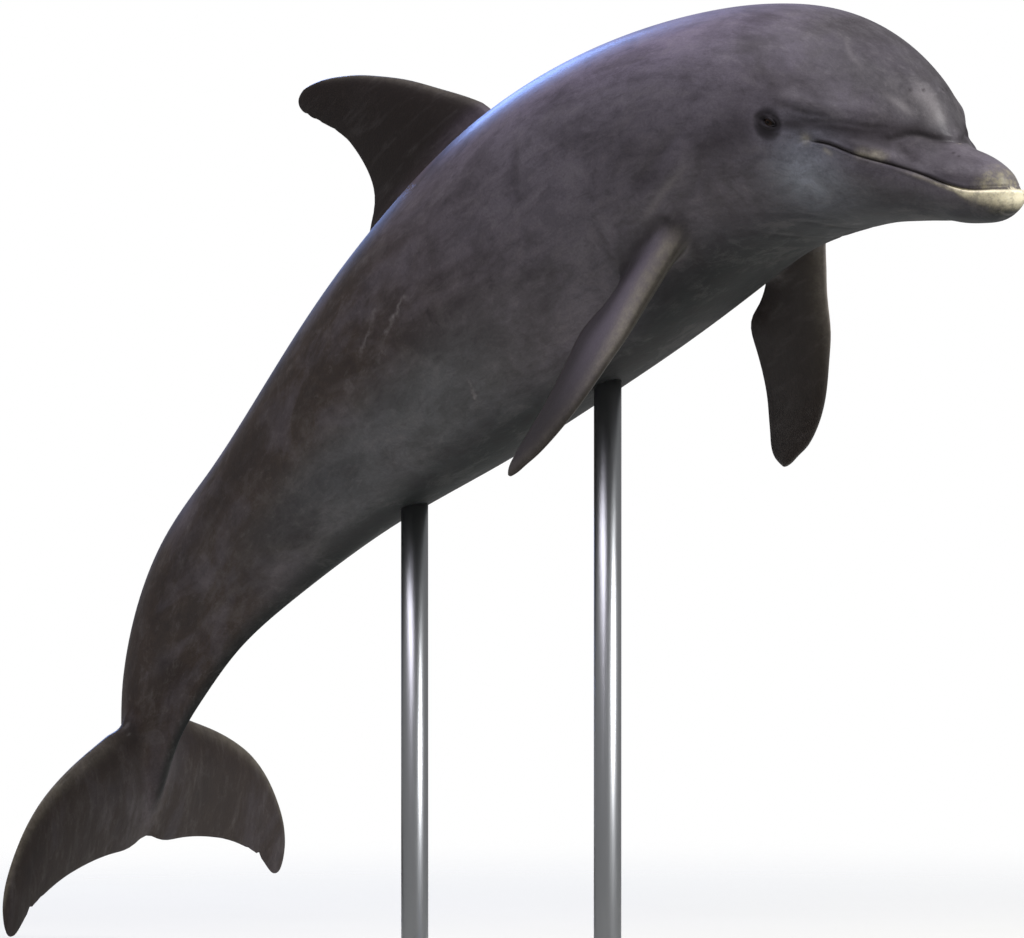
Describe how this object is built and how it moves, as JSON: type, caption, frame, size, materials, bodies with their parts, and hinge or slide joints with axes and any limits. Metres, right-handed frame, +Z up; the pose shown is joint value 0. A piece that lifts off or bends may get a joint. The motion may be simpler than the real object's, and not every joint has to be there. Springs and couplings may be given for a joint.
{
  "type": "bottlenose dolphin display model",
  "caption": "Life-size leaping bottlenose dolphin, back arched and tail bent down, held over a flat steel base by upright rods.",
  "frame": {"origin": "on the floor, under the middle of the whole model's bounding box", "axes": "+X the way the dolphin heads, +Y its left side, +Z up"},
  "size_m": [2.119, 0.6786, 1.5306],
  "materials": {
    "skin_body": "wet, smooth, dark grey, paler below",
    "skin_jaws": "wet, smooth, grey with a pale lip and tip",
    "skin_fins": "wet, smooth, darker grey",
    "eye": "polished, dark brown",
    "base_paint": "satin charcoal paint",
    "rod_steel": "brushed"
  },
  "bodies": {
    "root": {"upper_jaw": "skin_jaws", "lower_jaw": "skin_jaws", "head": "skin_body", "neck": "skin_body", "thorax": "skin_body", "abdomen": "skin_body", "tail_stock": "skin_body", "dorsal_fin": "skin_fins", "flipper_left": "skin_fins", "flipper_right": "skin_fins", "fluke_left": "skin_fins", "fluke_right": "skin_fins", "eye_left": "eye", "eye_right": "eye", "stand_base": "base_paint", "stand_rod_front": "rod_steel", "stand_rod_rear": "rod_steel"}
  },
  "joints": []
}
